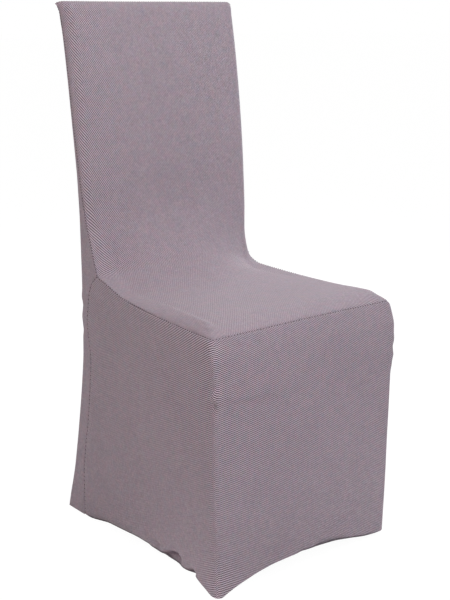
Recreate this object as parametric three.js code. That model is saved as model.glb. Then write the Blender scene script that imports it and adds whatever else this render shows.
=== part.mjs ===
// A stretch knit cover for a tall-backed dining chair, in the shape it takes on the chair.
// The chair is left out, so the cover is a hollow shell of three panels sewn edge to edge:
// one over the inside back and the seat, one down the outside back, and the skirt.
//
// Millimetres. +Z is up from the floor, +Y runs towards the back of the chair and X across it.
// The tables measure Y from the front seam of the seat; the finished group is then moved
// so that its origin lies at the middle of the cover's box, on the floor.

import * as THREE from 'three';

// ---- Driving sizes -------------------------------------------------------------------------

const KNIT_THICKNESS = 2;
const SEAM_PULL = 0.26; // each panel stops this far short of a seam, so that two are 0.3 mm apart
const FLAT_STEPS = 4; // steps from the middle of a panel to where its edge begins to turn
const TURN_STEPS = 5; // steps from there to the seam
const STRIP_STEPS = 2; // how many of those lie on the narrow strip beside the backrest
const REAR_ROUND_SHARE = 0.7; // the most of the strip beside a rear corner that its radius takes up
const BRIDGE_EASE = 2; // how late the middle of an inside row gives way to its edge
const LATE_RISE = 4; // how late a row of the outside back leaves its own level for the seam's
const KNIT_COLOUR = 0x9f919b;
const KNIT_ROUGHNESS = 0.95;

// Where the seams of the three panels meet, beside the rear of the seat. "walk" is the length
// of cloth from the top seam, down the inside back and forward over the seat.
const JUNCTION_WALK = 552;
const FRONT_SEAM_WALK = 926;

// Rows of the mesh, from the top seam to the junction, and on to the front seam.
const BACKREST_WALKS = [0, 12, 23, 38, 58, 82, 115, 152, 190, 230, 268, 305, 340, 372, 402, 432, 462,
  492, 522, JUNCTION_WALK];
const SEAT_WALKS = [JUNCTION_WALK, 568, 586, 608, 640, 680, 725, 770, 815, 855, 882, 902, 914,
  FRONT_SEAM_WALK];

// Rows below the junction, as shares of the way down to the hem.
const SKIRT_SHARES = [0, 0.03, 0.07, 0.12, 0.18, 0.25, 0.33, 0.42, 0.51, 0.6, 0.69, 0.78, 0.86, 0.92,
  0.965, 1];

// ---- Tables --------------------------------------------------------------------------------

function table(names, rows) {
  return rows.map((row) => Object.fromEntries(names.map((name, i) => [name, row[i]])));
}

// The middle line of the inside panel: the top seam, the face, the soft bend, the seat, its front.
const INSIDE = table(['walk', 'y', 'z'], [
  [0, 479, 1034.5],
  [12, 468, 1032.3],
  [23, 459.5, 1024.4],
  [38, 454.5, 1010],
  [82, 445.8, 966],
  [152, 434.6, 898],
  [230, 425, 820],
  [305, 417.4, 746],
  [372, 411.5, 680],
  [402, 407.5, 655],
  [432, 400.7, 629],
  [462, 390.5, 604.5],
  [492, 377.6, 581],
  [522, 361.8, 559.5],
  [552, 343, 540.8],
  [586, 318.2, 523.6],
  [612, 297.2, 514],
  [640, 273.3, 507],
  [671, 246.3, 502],
  [725, 197.5, 498],
  [815, 107, 497],
  [855, 67, 497],
  [882, 40, 494.5],
  [902, 21, 490],
  [914, 11, 486.5],
  [926, 3, 482.5],
]);

// The edges of the inside panel. The shoulder is where the cloth begins to turn, "roll" in from
// the seam, and "turn" is how far round it has gone, in degrees, when it reaches the seam.
const EDGE_COLUMNS = ['walk', 'shoulderY', 'shoulderZ', 'seamX', 'seamY', 'seamZ', 'roll', 'turn'];
const LEFT_EDGE = table(EDGE_COLUMNS, [
  [0, 479, 1035.5, 209.5, 484, 1031, 15, 90],
  [12, 468.5, 1033.2, 207.5, 482, 1022.5, 15, 90],
  [23, 459.5, 1025, 205.2, 479, 1012, 15, 90],
  [38, 454.5, 1010, 204, 476.5, 998, 17, 90],
  [82, 445.8, 966, 203.7, 468.5, 966, 19, 90],
  [152, 434.6, 898, 203.7, 458, 898, 20, 90],
  [230, 425, 820, 203.7, 447, 820, 20, 90],
  [305, 417.4, 746, 203.7, 435.5, 746, 19, 88],
  [372, 411.3, 680, 203.5, 425, 680, 18, 80],
  [432, 405.5, 622, 202.7, 413, 622, 22, 60],
  [462, 398, 592, 203.2, 401.5, 590, 32, 45],
  [492, 389.5, 565, 204, 391, 563, 42, 35],
  [522, 380.5, 543, 204.7, 381.5, 539, 45, 30],
  [552, 368, 525, 205.1, 374, 522, 45, 30],
  [586, 336, 511, 206.2, 343, 513, 42, 35],
  [640, 282, 498, 208, 284, 497, 38, 45],
  [725, 197, 495, 210.4, 197, 488, 36, 55],
  [815, 107, 496, 213, 107, 483.5, 36, 60],
  [855, 67, 495.5, 214.2, 67, 482.5, 36, 60],
  [882, 40, 493, 215.1, 38, 482, 36, 60],
  [902, 21, 489, 216, 14, 481, 34, 60],
  [914, 11, 485.5, 214.9, 8.6, 480.7, 30, 60],
  [926, 3, 481.5, 212.6, 5.5, 480.4, 26, 60],
]);
const RIGHT_EDGE = table(EDGE_COLUMNS, [
  [0, 479, 1034, 211.5, 484, 1028.5, 15, 90],
  [12, 468.5, 1031.6, 209.3, 482, 1020.6, 15, 90],
  [23, 459.5, 1023.5, 206.5, 479, 1011, 15, 90],
  [38, 454.5, 1010, 205.3, 476.5, 998, 18, 90],
  [82, 445.8, 966, 205.4, 468.5, 966, 20, 90],
  [152, 434.6, 898, 205.4, 458, 898, 20, 90],
  [230, 425, 820, 205.6, 447, 820, 20, 90],
  [305, 417.4, 746, 205.6, 439, 746, 20, 90],
  [372, 412, 680, 205.4, 435, 680, 20, 90],
  [432, 409.4, 621, 205, 431, 621, 18, 90],
  [492, 408.5, 562, 203.9, 427, 562, 15, 90],
  [522, 403.5, 526, 203.2, 419, 530, 14, 90],
  [552, 388, 496.5, 203.3, 409, 503.5, 18, 85],
  [586, 343, 486.5, 205.4, 372, 490, 30, 70],
  [640, 285, 489.5, 207.6, 296, 488.3, 34, 60],
  [725, 197, 493.5, 210.6, 200, 486, 36, 60],
  [815, 107, 496.5, 213.6, 107, 481, 34, 60],
  [855, 67, 498.5, 215, 67, 478.5, 32, 65],
  [882, 40, 496, 216.2, 38, 477, 30, 70],
  [902, 21, 491, 217.2, 14, 476, 28, 70],
  [914, 11, 486, 216.1, 8.6, 475.7, 26, 70],
  [926, 3, 480.5, 213.8, 5.5, 475.5, 24, 65],
]);

// The outside of the back by height: how far back it lies, half its width, and the largest
// radius of its rear corners.
const OUTSIDE = table(['height', 'rearY', 'half', 'round'], [
  [0, 506.5, 208, 5],
  [32, 500.8, 207.3, 8],
  [66, 492.5, 206.4, 10],
  [106, 484.2, 205.5, 12],
  [201, 465.3, 204.8, 12],
  [292, 451.3, 203.5, 12],
  [357, 444, 203, 12],
  [400, 442.5, 203, 12],
  [440, 441, 203, 12],
  [481, 441.5, 202.7, 12],
  [520, 441.8, 202.4, 12],
  [620, 442.6, 202.4, 12],
  [680, 445.2, 202.8, 12],
  [749, 450.6, 202.8, 12],
  [833, 459, 202.7, 12],
  [915, 469.4, 202.6, 12],
  [976, 479.2, 202.6, 12],
  [1010, 486.8, 203, 12],
  [1024, 487.5, 204.6, 12],
  [1032, 485, 207, 12],
  [1034.5, 479, 209.5, 12],
]);

// The rear seams below the junction, by height, on the left and the right side of the chair.
const REAR_SEAM_LEFT = table(['height', 'x', 'y'], [
  [0, 208.7, 440.5],
  [83, 207.4, 441.5],
  [147, 206.6, 434.5],
  [220, 205.9, 421],
  [306, 204.8, 410.5],
  [347, 204.5, 407],
  [382, 204.3, 412],
  [424, 204.1, 417],
  [450, 204.2, 413],
  [480, 204.1, 407],
  [503, 204.4, 396],
  [522, 205.1, 374],
]);
const REAR_SEAM_RIGHT = table(['height', 'x', 'y'], [
  [0, 208.7, 442],
  [83, 207.4, 441],
  [220, 205.9, 424],
  [347, 204.5, 412],
  [424, 204.1, 416],
  [480, 203.8, 413],
  [503.5, 203.3, 409],
]);

// The front corners of the skirt by depth below the seat seam: the seat pushes them out and the
// legs hold them below it. "round" is the radius of the fold.
const FRONT_CORNER = table(['drop', 'x', 'y', 'round'], [
  [0, 217.6, 1.5, 12],
  [10, 221.5, -1.4, 10],
  [20, 223, -3.9, 9],
  [40, 224, -8.4, 8],
  [60, 223, -9.7, 8],
  [80, 222, -10.8, 8],
  [120, 221.2, -9.2, 8],
  [140, 220, -7.3, 8],
  [200, 219.3, -7.1, 8],
  [280, 218.5, -6.1, 8],
  [370, 216.6, -7.1, 9],
  [455, 214.8, -7.1, 11],
  [480, 214.5, -7.1, 12],
]);

// Heights of the hem, which the four legs hold down and the knit pulls up between them.
const SIDE_HEM = table(['y', 'left', 'right'], [
  [-10, 0, 8],
  [2, 0, 6],
  [12, 4.5, 5],
  [24, 8.5, 6],
  [34, 11.5, 9],
  [52, 16, 15],
  [70, 19.7, 20],
  [107, 22.8, 23],
  [184, 24.5, 25],
  [244, 24.5, 24.5],
  [308, 20, 20.5],
  [352, 16, 16],
  [397, 8, 9],
  [442, 2.6, 4],
]);
const FRONT_HEM = table(['x', 'height'], [
  [-216, 0],
  [-206, 0],
  [-190, 5.4],
  [-162, 13.8],
  [-119, 21.6],
  [-75, 28.2],
  [0, 29.8],
  [48, 26.2],
  [112, 18.8],
  [163, 9.5],
  [197, 7],
  [216, 7.5],
]);
const BACK_HEM = table(['x', 'height'], [
  [0, 21],
  [60, 19.5],
  [120, 12],
  [165, 3],
  [185, 0],
  [209, 0],
]);

// Soft hollows where the knit puckers above the hem on the left side and the front, and last a
// soft bulge (its depth is below nought) at the front left corner of the seat.
const PUCKERS = table(['x', 'y', 'z', 'reach', 'depth'], [
  [-211, 190, 39, 22, 3],
  [-212, 122, 37, 24, 4],
  [-212.7, 67, 26, 20, 3.5],
  [-209.4, 382, 16, 24, 3],
  [-120, -6.6, 36, 24, 2.5],
  [70, -6.6, 38, 30, 2.5],
  [-220, -4, 463, 12, -2],
]);

// ---- Curves --------------------------------------------------------------------------------

// Slopes for a curve through the given values that never swings past them.
function gentleSlopes(keys, values) {
  const secants = keys.slice(1).map((key, i) => (values[i + 1] - values[i]) / (key - keys[i]));
  return keys.map((key, i) => {
    if (i === 0) return secants[0];
    if (i === keys.length - 1) return secants[i - 1];
    const before = secants[i - 1];
    const after = secants[i];
    return before * after <= 0 ? 0 : (2 * before * after) / (before + after);
  });
}

// A function that reads a table at any value of its first column.
function track(rows) {
  const [key, ...names] = Object.keys(rows[0]);
  const keys = rows.map((row) => row[key]);
  const columns = names.map((name) => rows.map((row) => row[name]));
  const slopes = columns.map((values) => gentleSlopes(keys, values));
  return (wanted) => {
    const at = THREE.MathUtils.clamp(wanted, keys[0], keys[keys.length - 1]);
    const next = Math.max(1, keys.findIndex((value) => value >= at));
    const i = next - 1;
    const width = keys[next] - keys[i];
    const t = (at - keys[i]) / width;
    const read = columns.map((values, c) => {
      const start = values[i] * (1 + 2 * t) * (1 - t) ** 2 + slopes[c][i] * width * t * (1 - t) ** 2;
      const end = values[next] * t ** 2 * (3 - 2 * t) - slopes[c][next] * width * t ** 2 * (1 - t);
      return start + end;
    });
    return Object.fromEntries(names.map((name, c) => [name, read[c]]));
  };
}

const insideAt = track(INSIDE);
const edgeAt = { left: track(LEFT_EDGE), right: track(RIGHT_EDGE) };
const outsideAt = track(OUTSIDE);
const rearSeamAt = { left: track(REAR_SEAM_LEFT), right: track(REAR_SEAM_RIGHT) };
const cornerAt = track(FRONT_CORNER);
const sideHemAt = track(SIDE_HEM);
const frontHemAt = track(FRONT_HEM);
const backHemAt = track(BACK_HEM);

const SIGN = { left: -1, right: 1 };

// ---- The inside back and seat panel -----------------------------------------------------------

// Half a row, from the middle line out to the seam: flat to the shoulder, then round the edge.
function insideHalfRow(walk, side) {
  const middle = insideAt(walk);
  const edge = edgeAt[side](walk);
  const flatHalf = edge.seamX - edge.roll;
  const fullTurn = THREE.MathUtils.degToRad(edge.turn);
  const points = [];
  for (let i = 1; i <= FLAT_STEPS; i += 1) {
    const share = i / FLAT_STEPS;
    const ease = share ** BRIDGE_EASE;
    points.push(new THREE.Vector3(
      SIGN[side] * flatHalf * share,
      THREE.MathUtils.lerp(middle.y, edge.shoulderY, ease),
      THREE.MathUtils.lerp(middle.z, edge.shoulderZ, ease),
    ));
  }
  for (let i = 1; i <= TURN_STEPS; i += 1) {
    const angle = fullTurn * (i / TURN_STEPS);
    const out = Math.sin(angle) / Math.sin(fullTurn);
    const down = (1 - Math.cos(angle)) / (1 - Math.cos(fullTurn));
    points.push(new THREE.Vector3(
      SIGN[side] * (flatHalf + edge.roll * out),
      THREE.MathUtils.lerp(edge.shoulderY, edge.seamY, down),
      THREE.MathUtils.lerp(edge.shoulderZ, edge.seamZ, down),
    ));
  }
  return points;
}

function insideRow(walk) {
  const middle = insideAt(walk);
  const left = insideHalfRow(walk, 'left').reverse();
  return [...left, new THREE.Vector3(0, middle.y, middle.z), ...insideHalfRow(walk, 'right')];
}

const insideWalks = [...BACKREST_WALKS, ...SEAT_WALKS.slice(1)];
const insideGrid = insideWalks.map(insideRow);

// ---- The outside back panel -------------------------------------------------------------------

// Half a row, from the middle of the back out round the rear corner and forward to the seam.
// heightAt gives the height of the cloth at each share of the way.
function outsideHalfRow(side, seam, heightAt) {
  const steps = FLAT_STEPS + TURN_STEPS;
  const roundSteps = TURN_STEPS - STRIP_STEPS;
  const points = [];
  for (let i = 1; i < steps; i += 1) {
    const height = heightAt(i / steps);
    const { rearY, half, round: largest } = outsideAt(height);
    const round = Math.min(largest, (rearY - seam.y) * REAR_ROUND_SHARE);
    if (i <= FLAT_STEPS) {
      points.push(new THREE.Vector3(SIGN[side] * (half - round) * (i / FLAT_STEPS), rearY, height));
    } else if (i <= FLAT_STEPS + roundSteps) {
      const angle = (Math.PI / 2) * ((i - FLAT_STEPS) / roundSteps);
      const x = half - round + round * Math.sin(angle);
      points.push(new THREE.Vector3(SIGN[side] * x, rearY - round + round * Math.cos(angle), height));
    } else {
      const share = (i - FLAT_STEPS - roundSteps) / STRIP_STEPS;
      const x = THREE.MathUtils.lerp(half, Math.abs(seam.x), share);
      const y = THREE.MathUtils.lerp(rearY - round, seam.y, share);
      points.push(new THREE.Vector3(SIGN[side] * x, y, height));
    }
  }
  points.push(seam.clone());
  return points;
}

// A row across the backrest, between the side seams and level with the inside panel's row.
function outsideUpperRow(walk, row) {
  const middleZ = insideAt(walk).z;
  const half = (side, seam) => outsideHalfRow(side, seam,
    (share) => THREE.MathUtils.lerp(middleZ, seam.z, share ** LATE_RISE));
  const middle = new THREE.Vector3(0, outsideAt(middleZ).rearY, middleZ);
  return [...half('right', row[row.length - 1]).reverse(), middle, ...half('left', row[0])];
}

// A point on a rear seam at a share of the way from the junction down to the hem.
function rearSeamPoint(side, share) {
  const top = edgeAt[side](JUNCTION_WALK).seamZ;
  const bottom = sideHemAt(rearSeamAt[side](0).y)[side];
  const z = THREE.MathUtils.lerp(top, bottom, share);
  const { x, y } = rearSeamAt[side](z);
  return new THREE.Vector3(SIGN[side] * x, y, z);
}

// A row below the junction, where each point goes down to its own place on the hem.
function outsideLowerRow(share) {
  const middleTop = insideAt(JUNCTION_WALK).z;
  const half = (side) => {
    const seam = rearSeamPoint(side, share);
    const seamTop = edgeAt[side](JUNCTION_WALK).seamZ;
    const seamHem = sideHemAt(rearSeamAt[side](0).y)[side];
    return outsideHalfRow(side, seam, (across) => {
      const top = THREE.MathUtils.lerp(middleTop, seamTop, across ** LATE_RISE);
      const cornerShare = FLAT_STEPS / (FLAT_STEPS + TURN_STEPS);
      const x = outsideAt(0).half * Math.min(1, across / cornerShare);
      const hem = backHemAt(x).height + seamHem * Math.max(0, across - cornerShare);
      return THREE.MathUtils.lerp(top, hem, share);
    });
  };
  const middleZ = THREE.MathUtils.lerp(middleTop, backHemAt(0).height, share);
  const middle = new THREE.Vector3(0, outsideAt(middleZ).rearY, middleZ);
  return [...half('right').reverse(), middle, ...half('left')];
}

const topSeam = insideGrid[0].map((point) => point.clone()).reverse();
const outsideGrid = [
  topSeam,
  ...BACKREST_WALKS.slice(1).map((walk, i) => outsideUpperRow(walk, insideGrid[i + 1])),
  ...SKIRT_SHARES.slice(1).map(outsideLowerRow),
];

// ---- The skirt --------------------------------------------------------------------------------

// The seam that the skirt hangs from: back to front on the left, across, and back on the right.
const seatRows = insideGrid.slice(BACKREST_WALKS.length - 1);
const leftSeam = seatRows.map((row) => row[0]);
const frontSeam = seatRows[seatRows.length - 1];
const rightSeam = seatRows.map((row) => row[row.length - 1]).reverse();

// The middle of the rounded front corner lies this share of its radius in from both faces.
const ROUND_MIDDLE = 1 - Math.SQRT1_2;

// A column down a side, "forward" of the way from the rear seam to the front corner.
function sideColumnPoint(side, top, forward, share) {
  const seam = rearSeamPoint(side, share);
  const hemY = THREE.MathUtils.lerp(rearSeamAt[side](0).y, FRONT_CORNER.at(-1).y, forward);
  const z = THREE.MathUtils.lerp(top.z, sideHemAt(hemY)[side], share);
  const corner = cornerAt(top.z - z);
  return new THREE.Vector3(
    THREE.MathUtils.lerp(seam.x, SIGN[side] * corner.x, forward),
    THREE.MathUtils.lerp(seam.y, corner.y + corner.round, forward),
    z,
  );
}

// A column on the side half of a rounded front corner, roundShare of the way to its middle.
function cornerColumnPoint(side, top, roundShare, share) {
  const hemCorner = FRONT_CORNER.at(-1);
  const hemX = SIGN[side] * (hemCorner.x - hemCorner.round * ROUND_MIDDLE);
  const hem = THREE.MathUtils.lerp(sideHemAt(hemCorner.y)[side], frontHemAt(hemX).height, roundShare);
  const z = THREE.MathUtils.lerp(top.z, hem, share);
  const corner = cornerAt(top.z - z);
  const angle = (Math.PI / 4) * roundShare;
  const x = corner.x - corner.round * (1 - Math.cos(angle));
  const y = corner.y + corner.round * (1 - Math.sin(angle));
  return new THREE.Vector3(SIGN[side] * x, y, z);
}

// A column down the front, or down the middle of a corner, where "across" is -1 or 1.
function frontColumnPoint(top, across, share) {
  const hemCorner = FRONT_CORNER.at(-1);
  const hemX = across * (hemCorner.x - hemCorner.round * ROUND_MIDDLE);
  const z = THREE.MathUtils.lerp(top.z, frontHemAt(hemX).height, share);
  const { x, y, round } = cornerAt(top.z - z);
  const reach = x - round * ROUND_MIDDLE;
  const pastFlat = Math.max(0, Math.abs(across) * reach - (x - round));
  const back = round - Math.sqrt(round ** 2 - pastFlat ** 2);
  return new THREE.Vector3(across * reach, y + back, z);
}

function skirtRow(share) {
  if (share === 0) return [...leftSeam, ...frontSeam.slice(1), ...rightSeam.slice(1)];
  const sideColumns = (side, seam) => {
    const tangentY = FRONT_CORNER[0].y + FRONT_CORNER[0].round;
    const middleY = seam.at(-1).y; // the last point is the middle of the corner
    return seam.slice(0, -1).map((top) => {
      if (top.y < tangentY) {
        const roundShare = (tangentY - top.y) / (tangentY - middleY);
        return cornerColumnPoint(side, top, roundShare, share);
      }
      const forward = (seam[0].y - top.y) / (seam[0].y - tangentY);
      return sideColumnPoint(side, top, forward, share);
    });
  };
  const cornerX = frontSeam[frontSeam.length - 1].x;
  return [
    ...sideColumns('left', leftSeam),
    ...frontSeam.map((top) => frontColumnPoint(top, top.x / cornerX, share)),
    ...sideColumns('right', [...rightSeam].reverse()).reverse(),
  ];
}

const skirtGrid = SKIRT_SHARES.map(skirtRow);

// ---- One skin, then three sheets -----------------------------------------------------------------

const placeKey = (point) => point.toArray().map((value) => value.toFixed(3)).join(' ');

// Normals of the whole skin, shared across the seams so that neighbouring panels are cut alike.
function skinNormals(grids) {
  const normals = new Map();
  const add = (point, normal) => {
    const key = placeKey(point);
    if (!normals.has(key)) normals.set(key, new THREE.Vector3());
    normals.get(key).add(normal);
  };
  for (const grid of grids) {
    for (let r = 0; r + 1 < grid.length; r += 1) {
      for (let c = 0; c + 1 < grid[r].length; c += 1) {
        const corners = [grid[r][c], grid[r + 1][c], grid[r + 1][c + 1], grid[r][c + 1]];
        const down = corners[2].clone().sub(corners[0]);
        const normal = down.cross(corners[3].clone().sub(corners[1])).normalize();
        corners.forEach((corner) => add(corner, normal));
      }
    }
  }
  normals.forEach((normal) => normal.normalize());
  return (point) => normals.get(placeKey(point));
}

// Presses the puckers and the bulge into a panel, along its normals.
function pucker(grid, normalAt) {
  return grid.map((row) => row.map((point) => {
    const sunk = point.clone();
    for (const { x, y, z, reach, depth } of PUCKERS) {
      const near = point.distanceTo(new THREE.Vector3(x, y, z)) / reach;
      sunk.addScaledVector(normalAt(point), -depth * Math.exp(-near * near));
    }
    return sunk;
  }));
}

// How far a point of a grid is pulled back from the seam that it lies on: towards the nearest
// point inside the panel, twice as far at a corner where two seams meet, and not at all where
// it lies inside or on a hem.
function seamPull(grid, r, c, sewn) {
  const innerR = THREE.MathUtils.clamp(r, 1, grid.length - (sewn.bottom ? 2 : 1));
  const innerC = THREE.MathUtils.clamp(c, 1, grid[r].length - 2);
  const seams = Number(innerR !== r) + Number(innerC !== c);
  return grid[innerR][innerC].clone().sub(grid[r][c]).setLength(SEAM_PULL * seams);
}

// A closed sheet under a grid of points, sewn along its top and its sides, and along its
// bottom where sewn.bottom says so. Each face is cut in two along its shorter diagonal, measured
// before the edges are pulled back, so that two panels cut the wall between them alike.
function sheetGeometry(grid, normals, sewn) {
  const rows = grid.length;
  const columns = grid[0].length;
  const places = [];
  const positions = [];
  for (const depth of [0, KNIT_THICKNESS]) {
    for (let r = 0; r < rows; r += 1) {
      for (let c = 0; c < columns; c += 1) {
        const place = grid[r][c].clone().addScaledVector(normals[r][c], -depth);
        places.push(place);
        positions.push(...place.clone().add(seamPull(grid, r, c, sewn)).toArray());
      }
    }
  }
  const faces = [];
  const quad = (a, b, c, d) => {
    const alongAC = places[a].distanceTo(places[c]) < places[b].distanceTo(places[d]);
    faces.push(...(alongAC ? [a, b, c, a, c, d] : [b, c, d, b, d, a]));
  };
  const outer = (r, c) => r * columns + c;
  const inner = (r, c) => rows * columns + outer(r, c);
  const lastRow = rows - 1;
  const lastColumn = columns - 1;
  for (let r = 0; r < lastRow; r += 1) {
    for (let c = 0; c < lastColumn; c += 1) {
      quad(outer(r, c), outer(r + 1, c), outer(r + 1, c + 1), outer(r, c + 1));
      quad(inner(r, c), inner(r, c + 1), inner(r + 1, c + 1), inner(r + 1, c));
    }
    quad(outer(r, 0), inner(r, 0), inner(r + 1, 0), outer(r + 1, 0));
    quad(outer(r + 1, lastColumn), inner(r + 1, lastColumn), inner(r, lastColumn), outer(r, lastColumn));
  }
  for (let c = 0; c < lastColumn; c += 1) {
    quad(outer(0, c + 1), inner(0, c + 1), inner(0, c), outer(0, c));
    quad(outer(lastRow, c), inner(lastRow, c), inner(lastRow, c + 1), outer(lastRow, c + 1));
  }
  const geometry = new THREE.BufferGeometry();
  geometry.setAttribute('position', new THREE.Float32BufferAttribute(positions, 3));
  geometry.setIndex(faces);
  geometry.computeVertexNormals();
  return geometry;
}

const grids = [insideGrid, outsideGrid, skirtGrid];
const normalAt = skinNormals(grids);
const [insideNormals, outsideNormals, skirtNormals] = grids.map(
  (grid) => grid.map((row) => row.map(normalAt)),
);

function panel(name, grid, normals, sewn) {
  const material = new THREE.MeshStandardMaterial({
    color: KNIT_COLOUR, roughness: KNIT_ROUGHNESS, metalness: 0,
  });
  const mesh = new THREE.Mesh(sheetGeometry(grid, normals, sewn), material);
  mesh.name = name;
  return mesh;
}

const cover = new THREE.Group();
cover.add(panel('inside_back_and_seat', insideGrid, insideNormals, { bottom: true }));
cover.add(panel('outside_back', outsideGrid, outsideNormals, { bottom: false }));
cover.add(panel('skirt', pucker(skirtGrid, normalAt), skirtNormals, { bottom: false }));

// The origin goes to the middle of the cover's box, on the floor.
const box = new THREE.Box3().setFromObject(cover);
const centre = box.getCenter(new THREE.Vector3());
cover.position.set(-centre.x, -centre.y, -box.min.z);
cover.updateMatrixWorld(true);

export default cover;
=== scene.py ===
"""Builds a stretch knit cover for a tall-backed dining chair, and the stage it is shown on.

The cover is three panels sewn edge to edge: one over the inside back and the seat, one down the
outside back, and the skirt. Each is a sheet of knit with a thickness of its own, laid over the
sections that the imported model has, with the seams, puckers and stitches added.
"""

import math
from bisect import bisect_right
from collections import namedtuple
from functools import lru_cache
from itertools import accumulate

import bmesh
import bpy
from mathutils import Matrix, Vector


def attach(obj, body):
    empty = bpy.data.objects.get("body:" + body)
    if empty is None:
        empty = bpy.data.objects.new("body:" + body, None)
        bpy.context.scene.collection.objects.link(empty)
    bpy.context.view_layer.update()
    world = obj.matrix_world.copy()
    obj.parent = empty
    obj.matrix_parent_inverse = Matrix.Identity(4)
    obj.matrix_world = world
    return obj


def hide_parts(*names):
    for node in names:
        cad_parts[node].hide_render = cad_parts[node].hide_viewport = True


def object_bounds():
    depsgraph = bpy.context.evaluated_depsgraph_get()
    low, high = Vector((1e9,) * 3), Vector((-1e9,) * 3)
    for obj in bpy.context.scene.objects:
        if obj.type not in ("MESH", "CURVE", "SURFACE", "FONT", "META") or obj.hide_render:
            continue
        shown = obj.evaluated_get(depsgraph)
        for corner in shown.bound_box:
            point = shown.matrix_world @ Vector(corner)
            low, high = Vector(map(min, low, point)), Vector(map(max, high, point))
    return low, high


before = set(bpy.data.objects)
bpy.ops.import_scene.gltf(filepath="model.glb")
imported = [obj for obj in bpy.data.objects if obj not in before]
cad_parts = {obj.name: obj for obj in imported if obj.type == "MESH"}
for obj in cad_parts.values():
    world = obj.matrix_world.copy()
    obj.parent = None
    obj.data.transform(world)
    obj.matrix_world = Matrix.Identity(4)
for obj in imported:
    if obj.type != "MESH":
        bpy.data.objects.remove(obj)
CAD_LOW, CAD_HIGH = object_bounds()

bl_info = {
    "name": "Stretch Chair Cover",
    "version": (1, 0, 0),
    "blender": (4, 5, 0),
    "location": "3D View > Sidebar > Chair Cover",
    "description": "Builds a stretch knit dining chair cover and the stage it is shown on",
    "category": "Object",
}

MM = 0.001

# The tables are in millimetres. They measure Y from the front seam of the seat and Z from the
# floor, and this moves them to the frame's origin.
TO_FRAME = Vector((0.0696, -247.8517, 0.3653))

SIGN = {"left": -1, "right": 1}

# ---- Sizes of the cloth, in millimetres ----

# A walk is how far down the middle of the inside panel a row lies, from its top seam.
JUNCTION_WALK = 552  # where the three panels meet, beside the rear of the seat
FRONT_SEAM_WALK = 926  # where the seat ends, at its front seam
TOP_ROLL_WALK = 12  # how far down the inside back the soft top edge reaches
FLAT_STEPS = 30  # steps from the middle of a panel to where its edge begins to turn
TURN_STEPS = 15  # steps from there to the seam
TURN_GRADING = 1.4  # how much closer together they are at the seam
FLAT_SHARE = 4 / 9  # where the flat of the outside back ends, as a share of its half row
ROUND_SHARE = 7 / 9  # and where its rear corner ends
REAR_ROUND_SHARE = 0.7  # how much of the outside back's depth a rear corner may take
LATE_RISE = 4  # how late a row of the outside back leaves the level of its middle
BRIDGE_EASE = 2  # how late the middle of the inside panel gives way to its edge
STEP_GROWTH = 0.22  # how much a step between rows grows for each millimetre from a seam
SKIRT_LENGTH = 500  # a rough length, for grading the rows of the skirt
HEM_DROP = 480  # how far the front corners of the hem lie below the seat seam
ROUND_MIDDLE = 1 - math.sqrt(0.5)  # how far in a round corner's middle lies, in radii
FELT_WITHIN = 3  # a hollow or a fold is felt within this many times its reach
STEP_STEEPNESS = 1.6  # how fast a step crosses from sinking to swelling

HEM_FOLD = 0.9  # how much thicker the cloth is where the hem is turned up
HEM_FOLD_END = (20, 17)  # how far up from the edge that begins, and where it is whole
CURL_REACH = 16  # how far up the hem rolls under, along the rear of the left side
CURL_DEPTH = 11  # how far in it goes
CURL_DROP = 8  # and how much lower it hangs there
CURL_LEFT_OF = -200  # only the left side of the skirt curls
CURL_ALONG = (150, 240, 400, 440)  # where along Y it begins, is whole, and ends

EDGE_LOOPS_REACH = 24  # how far in from the edges of the back and the seat the loops are narrow
CORNER_LOOPS_REACH = 48  # how far round from the skirt's front corners they are drawn wider
REAR_LOOPS = (140, 420)  # and between which distances from there they grow narrow again

STITCH_SLANT = 0.35  # how far a stitch runs along its seam for each step across it
STITCH_SHAPE = (1.45, 0.62, 0.5)  # half its length, width and height, as shares of the thread
STITCH_LIFT = 0.25  # how far it stands off the bottom of the seam

BODY = "inside_back_and_seat"
BACK = "outside_back"
SKIRT = "skirt"

# ---- Curves ----


def clamp(value, low, high):
    return min(max(value, low), high)


def lerp(start, end, share):
    return start + (end - start) * share


def smoothstep(low, high, value):
    share = clamp((value - low) / (high - low), 0.0, 1.0)
    return share * share * (3 - 2 * share)


def ramp(value, start, end, first, last):
    """Goes smoothly from first, at start, to last, at end."""
    return lerp(first, last, smoothstep(start, end, value))


def between(value, start, full, last, end):
    """Rises from 0 to 1 between start and full, and falls again between last and end."""
    return smoothstep(start, full, value) * smoothstep(end, last, value)


def gentle_slopes(keys, values):
    """Slopes for a curve through the given values that never swings past them."""
    secants = [
        (v1 - v0) / (k1 - k0) for k0, k1, v0, v1 in zip(keys, keys[1:], values, values[1:])
    ]
    slopes = [secants[0]]
    for before, after in zip(secants, secants[1:]):
        turns = before * after <= 0
        slopes.append(0.0 if turns else 2 * before * after / (before + after))
    return slopes + [secants[-1]]


def track(names, *rows):
    """A function that reads a table at any value of its first column."""
    reading = namedtuple("Reading", names.split()[1:])
    keys, *columns = zip(*rows)
    slopes = [gentle_slopes(keys, column) for column in columns]

    def read(wanted):
        at = clamp(wanted, keys[0], keys[-1])
        i = clamp(bisect_right(keys, at), 1, len(keys) - 1) - 1
        width = keys[i + 1] - keys[i]
        t = (at - keys[i]) / width
        start, end = (1 + 2 * t) * (1 - t) ** 2, t**2 * (3 - 2 * t)
        leave, arrive = width * t * (1 - t) ** 2, width * t**2 * (1 - t)
        return reading(
            *(
                column[i] * start + column[i + 1] * end + slope[i] * leave - slope[i + 1] * arrive
                for column, slope in zip(columns, slopes)
            )
        )

    return read


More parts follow.
